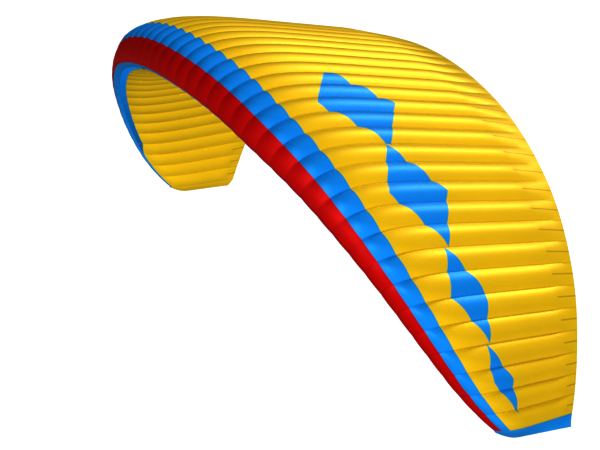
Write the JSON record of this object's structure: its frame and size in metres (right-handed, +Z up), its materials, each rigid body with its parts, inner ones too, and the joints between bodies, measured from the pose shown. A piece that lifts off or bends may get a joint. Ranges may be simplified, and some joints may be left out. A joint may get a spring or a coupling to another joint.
{
  "type": "paraglider wing",
  "caption": "Arched ram-air wing of sewn cloth cells with a long air intake under the nose, in yellow with red and blue nose bands and blue tip panels.",
  "frame": {"origin": "on the lower seam of the centre rib at mid chord, in the middle of the places where the suspension lines pull", "axes": "+X along the span to the pilot's left tip, -Y towards the nose, +Z up"},
  "size_m": [8.8662, 3.1256, 3.1852],
  "materials": {
    "red_cloth": "coated ripstop cloth, satin",
    "blue_cloth": "coated ripstop cloth, satin",
    "yellow_cloth": "coated ripstop cloth, satin"
  },
  "bodies": {
    "root": {"nose_red": "red_cloth", "band_blue": "blue_cloth", "upper_sail": "yellow_cloth", "nose_lip_centre": "blue_cloth", "nose_lip_left_1": "blue_cloth", "nose_lip_right_1": "blue_cloth", "nose_lip_left_2": "blue_cloth", "nose_lip_right_2": "blue_cloth", "nose_lip_left_3": "blue_cloth", "nose_lip_right_3": "blue_cloth", "lower_sail": "yellow_cloth", "tip_panel_left": "blue_cloth", "tip_panel_right": "blue_cloth", "rib_centre": "blue_cloth", "rib_left_01": "blue_cloth", "rib_right_01": "blue_cloth", "rib_left_02": "blue_cloth", "rib_right_02": "blue_cloth", "rib_left_03": "blue_cloth", "rib_right_03": "blue_cloth", "rib_left_04": "blue_cloth", "rib_right_04": "blue_cloth", "rib_left_05": "blue_cloth", "rib_right_05": "blue_cloth", "rib_left_06": "blue_cloth", "rib_right_06": "blue_cloth", "rib_left_07": "blue_cloth", "rib_right_07": "blue_cloth", "rib_left_08": "blue_cloth", "rib_right_08": "blue_cloth", "rib_left_09": "blue_cloth", "rib_right_09": "blue_cloth", "rib_left_10": "blue_cloth", "rib_right_10": "blue_cloth", "rib_left_11": "blue_cloth", "rib_right_11": "blue_cloth", "rib_left_12": "blue_cloth", "rib_right_12": "blue_cloth", "rib_left_13": "blue_cloth", "rib_right_13": "blue_cloth", "rib_left_14": "blue_cloth", "rib_right_14": "blue_cloth", "rib_left_15": "blue_cloth", "rib_right_15": "blue_cloth", "rib_left_16": "blue_cloth", "rib_right_16": "blue_cloth", "rib_left_17": "blue_cloth", "rib_right_17": "blue_cloth", "rib_left_18": "blue_cloth", "rib_right_18": "blue_cloth", "rib_left_19": "blue_cloth", "rib_right_19": "blue_cloth", "rib_left_20": "blue_cloth", "rib_right_20": "blue_cloth", "rib_left_21": "blue_cloth", "rib_right_21": "blue_cloth", "rib_left_22": "blue_cloth", "rib_right_22": "blue_cloth", "rib_left_23": "blue_cloth", "rib_right_23": "blue_cloth"}
  },
  "joints": []
}
